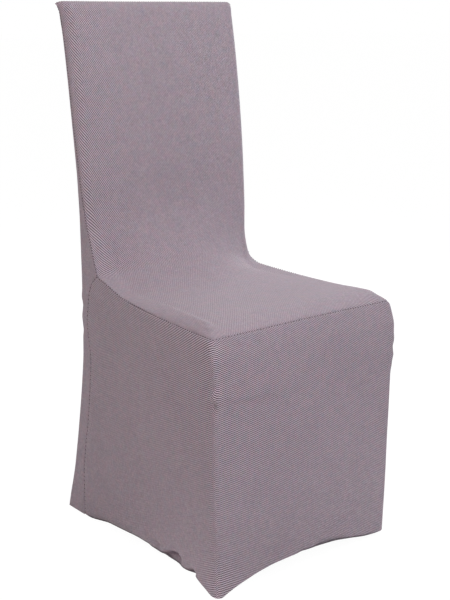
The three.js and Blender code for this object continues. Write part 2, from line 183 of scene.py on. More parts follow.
def graded(start, end, first, most, last):
    """Values from start to end, in steps that grow from first up to most and shrink to last."""
    length = end - start
    samples = 2000
    travelled = [0.0]
    for i in range(samples):
        x = (i + 0.5) / samples * length
        step = min(most, first + STEP_GROWTH * x, last + STEP_GROWTH * (length - x))
        travelled.append(travelled[-1] + length / samples / step)
    count = math.ceil(travelled[-1])
    values, i = [], 0
    for n in range(count):
        wanted = n / count * travelled[-1]
        while travelled[i + 1] < wanted:
            i += 1
        part = (wanted - travelled[i]) / (travelled[i + 1] - travelled[i])
        values.append(start + (i + part) / samples * length)
    return values + [end]


BACKREST_WALKS = graded(0, JUNCTION_WALK, 0.9, 6.2, 1.6)
SEAT_WALKS = graded(JUNCTION_WALK, FRONT_SEAM_WALK, 1.0, 5.2, 0.9)
SKIRT_SHARES = [value / SKIRT_LENGTH for value in graded(0, SKIRT_LENGTH, 0.9, 6.0, 0.4)]
TURN_SHARES = [1 - (1 - (i + 1) / TURN_STEPS) ** TURN_GRADING for i in range(TURN_STEPS)]

# ---- Tables ----

# The middle line of the inside panel: the top seam, the face, the soft bend, the seat, its front.
inside_at = track(
    "walk y z",
    (0, 479, 1034.5),
    (12, 468, 1032.3),
    (23, 459.5, 1024.4),
    (38, 454.5, 1010),
    (82, 445.8, 966),
    (152, 434.6, 898),
    (230, 425, 820),
    (305, 417.4, 746),
    (372, 411.5, 680),
    (402, 407.5, 655),
    (432, 400.7, 629),
    (462, 390.5, 604.5),
    (492, 377.6, 581),
    (522, 361.8, 559.5),
    (552, 343, 540.8),
    (586, 318.2, 523.6),
    (612, 297.2, 514),
    (640, 273.3, 507),
    (671, 246.3, 502),
    (725, 197.5, 498),
    (815, 107, 497),
    (855, 67, 497),
    (882, 40, 494.5),
    (902, 21, 490),
    (914, 11, 486.5),
    (926, 3, 482.5),
)

# The edges of the inside panel. The shoulder is where the cloth begins to turn, "roll" in from
# the seam, and "turn" is how far round it has gone, in degrees, when it reaches the seam.
EDGE_COLUMNS = "walk shoulder_y shoulder_z seam_x seam_y seam_z roll turn"
left_edge_at = track(
    EDGE_COLUMNS,
    (0, 479, 1035.5, 209.5, 484, 1031, 15, 90),
    (12, 468.5, 1033.2, 207.5, 482, 1022.5, 15, 90),
    (23, 459.5, 1025, 205.2, 479, 1012, 15, 90),
    (38, 454.5, 1010, 204, 476.5, 998, 17, 90),
    (82, 445.8, 966, 203.7, 468.5, 966, 19, 90),
    (152, 434.6, 898, 203.7, 458, 898, 20, 90),
    (230, 425, 820, 203.7, 447, 820, 20, 90),
    (305, 417.4, 746, 203.7, 435.5, 746, 19, 88),
    (372, 411.3, 680, 203.5, 425, 680, 18, 80),
    (432, 405.5, 622, 202.7, 413, 622, 22, 60),
    (462, 398, 592, 203.2, 401.5, 590, 32, 45),
    (492, 389.5, 565, 204, 391, 563, 42, 35),
    (522, 380.5, 543, 204.7, 381.5, 539, 45, 30),
    (552, 368, 525, 205.1, 374, 522, 45, 30),
    (586, 336, 511, 206.2, 343, 513, 42, 35),
    (640, 282, 498, 208, 284, 497, 38, 45),
    (725, 197, 495, 210.4, 197, 488, 36, 55),
    (815, 107, 496, 213, 107, 483.5, 36, 60),
    (855, 67, 495.5, 214.2, 67, 482.5, 36, 60),
    (882, 40, 493, 215.1, 38, 482, 36, 60),
    (902, 21, 489, 216, 14, 481, 34, 60),
    (914, 11, 485.5, 214.9, 8.6, 480.7, 30, 60),
    (926, 3, 481.5, 212.6, 5.5, 480.4, 26, 60),
)
right_edge_at = track(
    EDGE_COLUMNS,
    (0, 479, 1034, 211.5, 484, 1028.5, 15, 90),
    (12, 468.5, 1031.6, 209.3, 482, 1020.6, 15, 90),
    (23, 459.5, 1023.5, 206.5, 479, 1011, 15, 90),
    (38, 454.5, 1010, 205.3, 476.5, 998, 18, 90),
    (82, 445.8, 966, 205.4, 468.5, 966, 20, 90),
    (152, 434.6, 898, 205.4, 458, 898, 20, 90),
    (230, 425, 820, 205.6, 447, 820, 20, 90),
    (305, 417.4, 746, 205.6, 439, 746, 20, 90),
    (372, 412, 680, 205.4, 435, 680, 20, 90),
    (432, 409.4, 621, 205, 431, 621, 18, 90),
    (492, 406.5, 562, 203.9, 427, 562, 20, 85),
    (522, 396.5, 528, 203.2, 417.5, 531, 24, 72),
    (552, 380, 501.5, 203.3, 404, 506, 30, 64),
    (586, 343, 488.3, 205.4, 366, 490.5, 34, 58),
    (640, 285, 489.5, 207.6, 296, 488.3, 34, 60),
    (725, 197, 493.5, 210.6, 200, 486, 36, 60),
    (815, 107, 496.5, 213.6, 107, 481, 34, 60),
    (855, 67, 498.5, 215, 67, 478.5, 32, 65),
    (882, 40, 496, 216.2, 38, 477, 30, 70),
    (902, 21, 491, 217.2, 14, 476, 28, 70),
    (914, 11, 486, 216.1, 8.6, 475.7, 26, 70),
    (926, 3, 480.5, 213.8, 5.5, 475.5, 24, 65),
)

# The outside of the back by height: how far back it lies, half its width, and the largest
# radius of its rear corners.
outside_at = track(
    "height rear_y half round",
    (0, 506.5, 208, 5),
    (32, 500.8, 207.3, 8),
    (66, 492.5, 206.4, 10),
    (106, 484.2, 205.5, 12),
    (201, 465.3, 204.8, 12),
    (292, 451.3, 203.5, 12),
    (357, 444, 203, 12),
    (400, 442.5, 203, 12),
    (440, 441, 203, 12),
    (481, 441.5, 202.7, 12),
    (520, 441.8, 202.4, 12),
    (620, 442.6, 202.4, 12),
    (680, 445.2, 202.8, 12),
    (749, 450.6, 202.8, 12),
    (833, 459, 202.7, 12),
    (915, 469.4, 202.6, 12),
    (976, 479.2, 202.6, 12),
    (1010, 486.8, 203, 12),
    (1024, 487.5, 204.6, 12),
    (1032, 485, 207, 12),
    (1034.5, 479, 209.5, 12),
)

# The rear seams below the junction, by height, on each side of the chair.
left_rear_seam_at = track(
    "height x y",
    (0, 208.7, 440.5),
    (83, 207.4, 441.5),
    (147, 206.6, 434.5),
    (220, 205.9, 421),
    (306, 204.8, 410.5),
    (347, 204.5, 407),
    (382, 204.3, 412),
    (424, 204.1, 417),
    (450, 204.2, 413),
    (480, 204.1, 407),
    (503, 204.4, 396),
    (522, 205.1, 374),
)
right_rear_seam_at = track(
    "height x y",
    (0, 208.7, 442),
    (83, 207.4, 441),
    (220, 205.9, 424),
    (347, 204.5, 412),
    (424, 204.1, 416),
    (480, 203.8, 413),
    (503.5, 203.3, 409),
)

# The front corners of the skirt by depth below the seat seam: the seat pushes them out and the
# legs hold them below it. "round" is the radius of the fold.
corner_at = track(
    "drop x y round",
    (0, 217.6, 1.5, 12),
    (10, 221.5, -1.4, 10),
    (20, 223, -3.9, 9),
    (40, 224, -8.4, 8),
    (60, 223, -9.7, 8),
    (80, 222, -10.8, 8),
    (120, 221.2, -9.2, 8),
    (140, 220, -7.3, 8),
    (200, 219.3, -7.1, 8),
    (280, 218.5, -6.1, 8),
    (370, 216.6, -7.1, 9),
    (455, 214.8, -7.1, 11),
    (480, 214.5, -7.1, 12),
)

# Heights of the hem, which the four legs hold down and the knit pulls up between them.
side_hem_at = track(
    "y left right",
    (-10, 0, 8),
    (2, 0, 6),
    (12, 4.5, 5),
    (24, 8.5, 6),
    (34, 11.5, 9),
    (52, 16, 15),
    (70, 19.7, 20),
    (107, 22.8, 23),
    (184, 24.5, 25),
    (244, 24.5, 24.5),
    (308, 20, 20.5),
    (352, 16, 16),
    (397, 8, 9),
    (442, 2.6, 4),
)
front_hem_at = track(
    "x height",
    (-216, 0),
    (-206, 0),
    (-190, 5.4),
    (-162, 13.8),
    (-119, 21.6),
    (-75, 28.2),
    (0, 29.8),
    (48, 26.2),
    (112, 18.8),
    (163, 9.5),
    (197, 7),
    (216, 7.5),
)
back_hem_at = track(
    "x height",
    (0, 21),
    (60, 19.5),
    (120, 12),
    (165, 3),
    (185, 0),
    (209, 0),
)

edge_at = {"left": left_edge_at, "right": right_edge_at}
rear_seam_at = {"left": left_rear_seam_at, "right": right_rear_seam_at}
HEM_CORNER = corner_at(HEM_DROP)
HEM_CORNER_X = HEM_CORNER.x - HEM_CORNER.round * ROUND_MIDDLE

# ---- The knit's hollows, folds and tight places ----

# Soft hollows (and, where the depth is below nought, soft swellings) pressed into the knit:
# the panel, the middle, how far they reach and how deep they are.
HOLLOWS = [
    (SKIRT, (-211, 190, 39), 22, 3),
    (SKIRT, (-212, 122, 37), 24, 4),
    (SKIRT, (-212.7, 67, 26), 20, 3.5),
    (SKIRT, (-209.4, 382, 16), 24, 3),
    (SKIRT, (-120, -6.6, 36), 24, 2.5),
    (SKIRT, (70, -6.6, 38), 30, 2.5),
    # the front left corner: the end of the seat frame, and under it where the fold sinks in
    (SKIRT, (-220, -4, 463), 12, -2),
    (SKIRT, (-222, 4, 400), 11, 3),
    (SKIRT, (-220, -7, 382), 9, -5),
    (SKIRT, (-220, -5, 366), 7, 7),
    # the seat's front right corner, which stands out
    (BODY, (207, 1, 479), 13, -3),
    (SKIRT, (207, 1, 479), 13, -3),
    (BODY, (210, 46, 490), 14, -3.4),
    (SKIRT, (210, 46, 490), 14, -3.4),
    # the front right edge, where the knit ripples over the seat frame
    (SKIRT, (216, -8, 408), 10, -1.2),
    (SKIRT, (216, -8, 391), 6, 1.8),
    (SKIRT, (216, -8, 374), 7, -1.6),
    # the rear left edge, rippled below the junction
    (BACK, (-203, 440, 470), 10, -1.5),
    (BACK, (-203, 440, 453), 8, 1.4),
    (BACK, (-203, 440, 429), 11, -1.8),
    (BACK, (-203, 440, 401), 9, 1.4),
    # small gathers right at the hem
    (SKIRT, (-211, 212, 39), 6, 1.8),
    (SKIRT, (-212, 150, 26), 9, -1),
    (SKIRT, (-213, 96, 26), 10, -2),
    (SKIRT, (-213, 68, 19), 7, 1.5),
    (SKIRT, (-211, 222, 27), 10, 1.5),
    (SKIRT, (-10, -7, 30), 9, 2),
]

# Long soft folds: the panel, the line that each follows, how far it reaches to either side, how
# high it stands (below nought, how deep it lies) and how much of each end it fades in over.
FOLDS = [
    (SKIRT, [(10, -8, 33), (62, -8, 30), (116, -8, 21)], 4, -4, 0.3),
    # tucks above the left hem
    (SKIRT, [(-212, 168, 26), (-212, 144, 31), (-212, 122, 35), (-212, 98, 27)], 4.5, -15, 0.35),
    (SKIRT, [(-212, 84, 29), (-213, 62, 16)], 4, -9, 0.4),
    (SKIRT, [(-211, 194, 36), (-211, 172, 34)], 4.5, -9, 0.4),
]

# Soft steps across the panels, swelling above the line or to its right and sinking below it,
# or the other way about where the rise is below nought.
STEPS = [
    (BODY, [(-162, 246, 494), (-171, 160, 495), (-182, 60, 496), (-189, 10, 484)], 9, -2, 0.25),
    (SKIRT, [(-214, -9, 373), (-150, -9, 365), (-70, -9, 359)], 8, 3, 0.2),
    (SKIRT, [(-221, 14, 376), (-221, 60, 376), (-220, 112, 373)], 8, 1.4, 0.4),
]

# Where the knit is pulled tight and its two yarns show most, and, where the clearness goes past 1,
# as at the front left corner, a painted highlight that makes the loops paler than the pale yarn:
# the panel, the middle of the spot, how far it reaches and how much clearer the weave is there.
TIGHT_AND_HIGHLIGHT_SPOTS = [
    (SKIRT, (-219, -4, 465), 20, 1.1),
    (SKIRT, (-217, -6, 384), 17, 0.75),
    (SKIRT, (-219, -4, 425), 26, 0.1),
    (SKIRT, (-222, 16, 420), 30, 0.25),
    (SKIRT, (-208, -6, 30), 42, 1.1),
    (BACK, (-205, 425, 540), 62, 0.5),
]

# How clearly the two yarns show apart elsewhere, about 0 to 1: the two places that each stretch
# lies between, along X, Y or Z, and the clearness at each.
CLEAR_ACROSS_BACK = (-180, -65, 0.95, 0.22)
CLEAR_ACROSS_SEAT = (-150, 150, 0.75, 0.6)
BACK_TO_SEAT = (400, 330)  # where the back gives way to the seat
CLEAR_UP_OUTSIDE = (300, 600, 0.15, 0.4)
CLEAR_ACROSS_FRONT = (-210, 180, 0.95, 0.75)
CLEAR_UP_FRONT = (60, 330, 0.5, 1)
CLEAR_ALONG_SIDE = (230, 30, 0.4, 0.85)
CLEAR_UP_SIDE = (90, 430, 0.05, 1)
SIDES_BEHIND = 10  # where the skirt's front gives way to its sides

# How much of the knit's diagonals fall to the right, and how that changes round to the sides.
FALLING = 0.8
SIDE_FALLING = (-4, 6, FALLING, 0.15)

# The shade along the turned edge of the hem: how much darker it is at the most, and, along the
# sides and the front, where it begins, is full and ends, and how far up from the edge it reaches.
HEM_SHADE = 0.6
SIDE_SHADE = (30, 80, 420, 450, 4.4)
FRONT_SHADE = (-50, 20, 170, 200, 4.8)
SIDE_SHADE_BEHIND = 20  # where the front's shade gives way to the sides' own

# Noise in the materials: its scale, how much detail it has and how rough that is.
SWAY = (9.0, 2.0, 0.5)
FIBRES = (420.0, 3.0, 0.6)
DYE_SPOTS = (75.0, 5.0, 0.8)
WIDE_PATCHES = (4.5, 3.0, 0.55)
SMALL_PATCHES = (28.0, 4.0, 0.6)
GRAIN = (225.0, 1.0, 0.6)
TWIST = (1400.0, 2.0, 0.6)

# Past 1 a loop's colour is painted paler than the pale yarn, a painted highlight where the weave is
# clearest.
TONE_LIMITS = (-0.05, 1.25)  # the darkest and the palest that a loop may be, between the yarns
FIBRE_TONE = 0.25  # how much single fibres change that
FIBRE_HEIGHT = 0.6  # and how far they stand up, beside the loops
DYE_SHARES = (2.2, 0.8, 1.1)  # red varies more than green and blue do
PATCH_SHADES = (0.6, 1.4, 0.95, 1.05)  # the two patch noises' range, and the shades for it
GRAIN_HIDDEN = 0.6  # how much the yarns' own pattern hides the grain where it is clear
YARN_ROUGHNESS = (0.97, 0.86)  # of the dark yarn and of the pale one
THREAD_SHADES = (0.75, 1.3)  # of the thread's colour, in its twist

# ---- Light, floor and camera ----

# The soft lamps: where each stands from the middle of the cover, how strong it is and its colour.
WARM = (1.0, 0.912, 0.870)
COOL = (0.927, 0.976, 1.0)
LAMPS = [
    ("front", (0, -2, 1.7), 0.234, COOL),
    ("upper_front", (0, -1, 2.1), 0.14, COOL),
    ("upper_left", (-1.8, -0.3, 1.6), 0.221, WARM),
    ("right", (2.2, -0.3, 1.1), 0.275, COOL),
    ("rear_right", (1.8, 1.2, 1.1), 0.28, COOL),
    ("rear", (0.4, 2.4, 1.0), 0.08, WARM),
]
LAMP_SIZE = 1.2
SKY = (1, 0.975, 0.965, 1)
WHITE = (1, 1, 1, 1)
FLOOR_COLOUR = (0.85, 0.85, 0.85, 1)
FLOOR_GLOW = 1.08  # how bright the part of the floor is that doesn't depend on the light

# The middle of the glowing spot on the floor, beside the front left corner: painted light, a patch
# of floor that glows though it is no lamp, to brighten the skirt's lower front left as a pool of
# lamplight would.
GLOW_SPOT_CENTRE = (-0.27, -0.16, 0)

LENS = 68.98  # focal length in millimetres, before a sensor 36 mm wide
CAMERA_PLACE = (-1.3707, -1.6993, 1.0323)
CAMERA_AIM = (0.6104, 0.7514, -0.2505)

# ---- Sections ----


def inside_half_row(walk, side):
    """Half a row from the middle line out: flat to the shoulder, then round the edge."""
    middle, edge = inside_at(walk), edge_at[side](walk)
    flat_half = edge.seam_x - edge.roll
    full_turn = math.radians(edge.turn)
    points = []
    for i in range(1, FLAT_STEPS + 1):
        share = i / FLAT_STEPS
        ease = share**BRIDGE_EASE
        y = lerp(middle.y, edge.shoulder_y, ease)
        z = lerp(middle.z, edge.shoulder_z, ease)
        points.append(Vector((SIGN[side] * flat_half * share, y, z)))
    for share in TURN_SHARES:
        angle = full_turn * share
        out = math.sin(angle) / math.sin(full_turn)
        down = (1 - math.cos(angle)) / (1 - math.cos(full_turn))
        y = lerp(edge.shoulder_y, edge.seam_y, down)
        z = lerp(edge.shoulder_z, edge.seam_z, down)
        points.append(Vector((SIGN[side] * (flat_half + edge.roll * out), y, z)))
    return points


def inside_row(walk):
    """A row of the inside panel, from its left seam to its right one."""
    middle = Vector((0, *inside_at(walk)))
    return inside_half_row(walk, "left")[::-1] + [middle] + inside_half_row(walk, "right")


def outside_half_row(side, seam, height_at):
    """Half a row of the outside back, out round the rear corner and forward to the seam.

    height_at gives the height of the cloth at each share of the way.
    """
    shares = [FLAT_SHARE * (i + 1) / FLAT_STEPS for i in range(FLAT_STEPS)]
    shares += [lerp(FLAT_SHARE, 1, turn) for turn in TURN_SHARES]
    points = []
    for share in shares[:-1]:
        height = height_at(share)
        rear_y, half, largest = outside_at(height)
        rounding = min(largest, (rear_y - seam.y) * REAR_ROUND_SHARE)
        if share <= FLAT_SHARE:
            x, y = (half - rounding) * share / FLAT_SHARE, rear_y
        elif share <= ROUND_SHARE:
            angle = math.pi / 2 * (share - FLAT_SHARE) / (ROUND_SHARE - FLAT_SHARE)
            x = half - rounding + rounding * math.sin(angle)
            y = rear_y - rounding + rounding * math.cos(angle)
        else:
            strip = (share - ROUND_SHARE) / (1 - ROUND_SHARE)
            x = lerp(half, abs(seam.x), strip)
            y = lerp(rear_y - rounding, seam.y, strip)
        points.append(Vector((SIGN[side] * x, y, height)))
    return points + [seam.copy()]


def outside_middle(height):
    """The middle of the outside back at a height."""
    return Vector((0, outside_at(height).rear_y, height))


def outside_upper_row(walk, row):
    """A row across the outside back, level with the inside panel's row."""
    middle_z = inside_at(walk).z

    def half(side, seam):
        return outside_half_row(
            side, seam, lambda share: lerp(middle_z, seam.z, share**LATE_RISE)
        )

    return half("right", row[-1])[::-1] + [outside_middle(middle_z)] + half("left", row[0])


def top_roll_row(walk, row, top_row, roll_row):
    """A row of the soft top edge, between the top seam and the first row that is clear of it."""
    share = walk / TOP_ROLL_WALK
    straight = [lerp(a, b, share) for a, b in zip(top_row, roll_row)]
    middle = len(row) // 2
    at_middle = outside_middle(inside_at(walk).z) - straight[middle]
    at_ends = (row[-1] - straight[0], row[0] - straight[-1])
    rounded = []
    for c, point in enumerate(straight):
        outward = abs(c - middle) / middle
        rounded.append(point + lerp(at_middle, at_ends[c > middle], outward**LATE_RISE))
    return rounded


def side_hem(side, y):
    """How high the hem hangs at a place along a side."""
    return getattr(side_hem_at(y), side)


def rear_seam_point(side, share):
    """A point on a rear seam, at a share of the way from the junction down to the hem."""
    top = edge_at[side](JUNCTION_WALK).seam_z
    z = lerp(top, side_hem(side, rear_seam_at[side](0).y), share)
    x, y = rear_seam_at[side](z)
    return Vector((SIGN[side] * x, y, z))


def outside_lower_row(share):
    """A row below the junction, where each point goes down to its own place on the hem."""
    middle_top = inside_at(JUNCTION_WALK).z

    def half(side):
        seam_top = edge_at[side](JUNCTION_WALK).seam_z
        seam_hem = side_hem(side, rear_seam_at[side](0).y)

        def height_at(across):
            top = lerp(middle_top, seam_top, across**LATE_RISE)
            x = outside_at(0).half * min(1, across / FLAT_SHARE)
            hem = back_hem_at(x).height + seam_hem * max(0, across - FLAT_SHARE)
            return lerp(top, hem, share)

        return outside_half_row(side, rear_seam_point(side, share), height_at)

    middle = outside_middle(lerp(middle_top, back_hem_at(0).height, share))
    return half("right")[::-1] + [middle] + half("left")


def side_column_point(side, top, forward, share):
    """A point down a side of the skirt, "forward" of the way to the front corner."""
    seam = rear_seam_point(side, share)
    hem_y = lerp(rear_seam_at[side](0).y, HEM_CORNER.y, forward)
    z = lerp(top.z, side_hem(side, hem_y), share)
    corner = corner_at(top.z - z)
    x = lerp(seam.x, SIGN[side] * corner.x, forward)
    return Vector((x, lerp(seam.y, corner.y + corner.round, forward), z))


def corner_column_point(side, top, round_share, share):
    """A point on the side half of a front corner, round_share of the way to its middle."""
    front_hem = front_hem_at(SIGN[side] * HEM_CORNER_X).height
    z = lerp(top.z, lerp(side_hem(side, HEM_CORNER.y), front_hem, round_share), share)
    corner = corner_at(top.z - z)
    angle = math.pi / 4 * round_share
    x = corner.x - corner.round * (1 - math.cos(angle))
    y = corner.y + corner.round * (1 - math.sin(angle))
    return Vector((SIGN[side] * x, y, z))


def front_column_point(top, across, share):
    """A point down the front, or down the middle of a corner, where across is -1 or 1."""
    z = lerp(top.z, front_hem_at(across * HEM_CORNER_X).height, share)
    x, y, rounding = corner_at(top.z - z)
    reach = x - rounding * ROUND_MIDDLE
    past_flat = max(0, abs(across) * reach - (x - rounding))
    back = rounding - math.sqrt(rounding**2 - past_flat**2)
    return Vector((across * reach, y + back, z))


def skirt_row(share, left_seam, front_seam, right_seam):
    """A row round the skirt, from its left rear seam to its right one."""
    if share == 0:
        return left_seam + front_seam[1:] + right_seam[1:]
    start = corner_at(0)
    tangent_y = start.y + start.round

    def side_columns(side, seam):
        middle_y = seam[-1].y
        points = []
        for top in seam[:-1]:
            if top.y >= tangent_y:
                forward = (seam[0].y - top.y) / (seam[0].y - tangent_y)
                points.append(side_column_point(side, top, forward, share))
            else:
                round_share = (tangent_y - top.y) / (tangent_y - middle_y)
                points.append(corner_column_point(side, top, round_share, share))
        return points

    corner_x = front_seam[-1].x
    return (
        side_columns("left", left_seam)
        + [front_column_point(top, top.x / corner_x, share) for top in front_seam]
        + side_columns("right", right_seam[::-1])[::-1]
    )


# ---- The skin ----


class Panel:
    """A grid of points with what is known of each: its normal and how far along the cloth."""

    def __init__(self, name, grid, bottom_sewn):
        self.name = name
        self.grid = grid
        self.rows = len(grid)
        self.columns = len(grid[0])
        self.bottom_sewn = bottom_sewn
        self.normals = None

    def across(self):
        """How far each point lies along its row from the middle of the row."""
        lengths = []
        for row in self.grid:
            steps = ((b - a).length for a, b in zip(row, row[1:]))
            walked = list(accumulate(steps, initial=0.0))
            lengths.append([value - walked[self.columns // 2] for value in walked])
        return lengths

    def down(self):
        """How far each point lies down its column from the top of the panel."""
        lengths = [[0.0] * self.columns]
        for above, row in zip(self.grid, self.grid[1:]):
            lengths.append(
                [before + (b - a).length for before, a, b in zip(lengths[-1], above, row)]
            )
        return lengths


def place_key(point):
    """The same for points that meet at a seam."""
    return tuple(round(value, 3) for value in point)


def share_normals(panels):
    """Gives each panel the normals of the whole skin, the same on both sides of a seam."""
    normals = {}
    for panel in panels:
        for above, below in zip(panel.grid, panel.grid[1:]):
            for c in range(panel.columns - 1):
                corners = (above[c], below[c], below[c + 1], above[c + 1])
                normal = (corners[2] - corners[0]).cross(corners[3] - corners[1])
                for corner in corners:
                    key = place_key(corner)
                    normals[key] = normals.get(key, Vector()) + normal
    for panel in panels:
        panel.normals = [
            [normals[place_key(point)].normalized() for point in row] for row in panel.grid
        ]


@lru_cache(maxsize=1)
def panels():
    """The three panels, as grids of points that meet at the seams."""
    inside = [inside_row(walk) for walk in BACKREST_WALKS + SEAT_WALKS[1:]]
    top_row = [point.copy() for point in inside[0]][::-1]
    roll_row = outside_upper_row(TOP_ROLL_WALK, inside_row(TOP_ROLL_WALK))
    outside = [top_row]
    for walk, row in list(zip(BACKREST_WALKS, inside))[1:]:
        if walk < TOP_ROLL_WALK:
            outside.append(top_roll_row(walk, row, top_row, roll_row))
        else:
            outside.append(outside_upper_row(walk, row))
    outside += [outside_lower_row(share) for share in SKIRT_SHARES[1:]]
    seat_rows = inside[len(BACKREST_WALKS) - 1 :]
    left_seam = [row[0] for row in seat_rows]
    right_seam = [row[-1] for row in seat_rows][::-1]
    skirt = [skirt_row(share, left_seam, seat_rows[-1], right_seam) for share in SKIRT_SHARES]
    made = [
        Panel(BODY, inside, True),
        Panel(BACK, outside, False),
        Panel(SKIRT, skirt, False),
    ]
    share_normals(made)
    return {panel.name: panel for panel in made}


def nearest_on_line(point, line):
    """Which way a point lies from a line, and its share of the way along the line."""
    total = sum((b - a).length for a, b in zip(line, line[1:]))
    walked, best = 0.0, None
    for a, b in zip(line, line[1:]):
        length = (b - a).length
        share = clamp((point - a).dot(b - a) / length**2, 0, 1)
        offset = point - lerp(a, b, share)
        if best is None or offset.length < best[0].length:
            best = (offset, (walked + share * length) / total)
        walked += length
    return best


def fade(share, ends):
    """Falls to nought over the given share of each end of a line."""
    return smoothstep(0, ends, share) * smoothstep(0, ends, 1 - share)


def relief(name, point):
    """How far the cloth stands out of its plain section at a point."""
    height = 0.0
    for panel, centre, reach, depth in HOLLOWS:
        if panel == name:
            near = (point - Vector(centre)).length / reach
            if near < FELT_WITHIN:
                height -= depth * math.exp(-near * near)
    for lines, stepped in ((FOLDS, False), (STEPS, True)):
        for panel, line, reach, rise, ends in lines:
            if panel != name:
                continue
            offset, share = nearest_on_line(point, [Vector(place) for place in line])
            near = offset.length / reach
            if near < FELT_WITHIN:
                side = (offset.x + offset.z) / reach * STEP_STEEPNESS if stepped else 1
                height += rise * side * math.exp(-near * near) * fade(share, ends)
    return height


def hem_curl(name, point, normal, above_hem):
    """How a point beside the rear of the left hem moves where the hem rolls under."""
    if name != SKIRT or point.x > CURL_LEFT_OF:
        return Vector()
    turned = between(point.y, *CURL_ALONG) * smoothstep(CURL_REACH, 0, above_hem)
    return normal * -CURL_DEPTH * turned**2 - Vector((0, 0, CURL_DROP * turned))


# ---- Mesh ----


def seam_distance(panel, r, c, across, down):
    """How far a point of a panel lies from the nearest seam, along the cloth."""
    ends = across[r]
    distances = [down[r][c], ends[c] - ends[0], ends[-1] - ends[c]]
    if panel.bottom_sewn:
        distances.append(down[-1][c] - down[r][c])
    return min(distances)


def loops_across(panel, across, wale, edge_wale, rear_wale):
    """How many loops lie between the middle of each row and each of its points.

    The loops are narrower on the rolled edges of the back and the seat. On the skirt they are
    wider round the front corners and narrow again at the rear.
    """
    skirt = panel.name == SKIRT
    front_corner = corner_at(0).x
    counted = []
    for row in across:
        counts = [0.0]
        for start, end in zip(row, row[1:]):
            place = abs(start + end) / 2
            inward = max(0.0, (front_corner if skirt else row[-1]) - place)
            near = inward / (CORNER_LOOPS_REACH if skirt else EDGE_LOOPS_REACH)
            size = lerp(wale, edge_wale, math.exp(-near * near))
            if skirt:
                size = lerp(size, rear_wale, smoothstep(*REAR_LOOPS, place - front_corner))
            counts.append(counts[-1] + (end - start) / size)
        counted.append([value - counts[panel.columns // 2] for value in counts])
    return counted


def seam_pull(panel, r, c, gap):
    """Which way and how far a point on a seam draws back from it, into its panel."""
    inner_r = clamp(r, 1, panel.rows - (2 if panel.bottom_sewn else 1))
    inner_c = clamp(c, 1, panel.columns - 2)
    seams = int(inner_r != r) + int(inner_c != c)
    if not seams:
        return Vector()
    inward = panel.grid[inner_r][inner_c] - panel.grid[r][c]
    return inward.normalized() * gap * seams


def weave_sizes(knit, name):
    """Width of a loop, at the edges or corners, at the rear, and its height, in metres."""
    if name == SKIRT:
        return knit.skirt_wale, knit.skirt_side_wale, knit.skirt_rear_wale, knit.skirt_course
    return knit.body_wale, knit.body_edge_wale, knit.body_wale, knit.body_course


def plain_clearness(name, x, y, z):
    """How clearly the two yarns show apart away from any tight spot."""
    if name == BODY:
        back, seat = ramp(x, *CLEAR_ACROSS_BACK), ramp(x, *CLEAR_ACROSS_SEAT)
        return lerp(back, seat, smoothstep(*BACK_TO_SEAT, y))
    if name == BACK:
        return ramp(z, *CLEAR_UP_OUTSIDE)
    if y < SIDES_BEHIND:
        return ramp(x, *CLEAR_ACROSS_FRONT) * ramp(z, *CLEAR_UP_FRONT)
    return ramp(y, *CLEAR_ALONG_SIDE) * ramp(z, *CLEAR_UP_SIDE)


def weave_clearness_and_highlight(name, point):
    """How clearly the two yarns show apart, about 0 to 1, and more where the knit is tight; past 1
    it paints the loops paler than the pale yarn, a painted highlight.
    """
    clearness = plain_clearness(name, *point)
    for panel, centre, reach, more in TIGHT_AND_HIGHLIGHT_SPOTS:
        if panel == name:
            near = (point - Vector(centre)).length / reach
            clearness += more * math.exp(-near * near)
    return clearness


def weave_lean(name, point):
    """How much of the knit's diagonals fall to the right: the rest of them rise."""
    return ramp(point.y, *SIDE_FALLING) if name == SKIRT else FALLING


def hem_shade(name, point, above_hem):
    """How much darker the turned edge of the hem is than the cloth, where it lies in shade."""
    if name != SKIRT:
        return 0.0
    at_side = point.y > SIDE_SHADE_BEHIND
    place, (*stretch, reach) = (point.y, SIDE_SHADE) if at_side else (point.x, FRONT_SHADE)
    return HEM_SHADE * between(place, *stretch) * smoothstep(reach, reach / 2, above_hem)


def finished_mesh(bm, name):
    """Turns a bmesh into a mesh and frees it."""
    mesh = bpy.data.meshes.new(name)
    bm.to_mesh(mesh)
    bm.free()
    return mesh


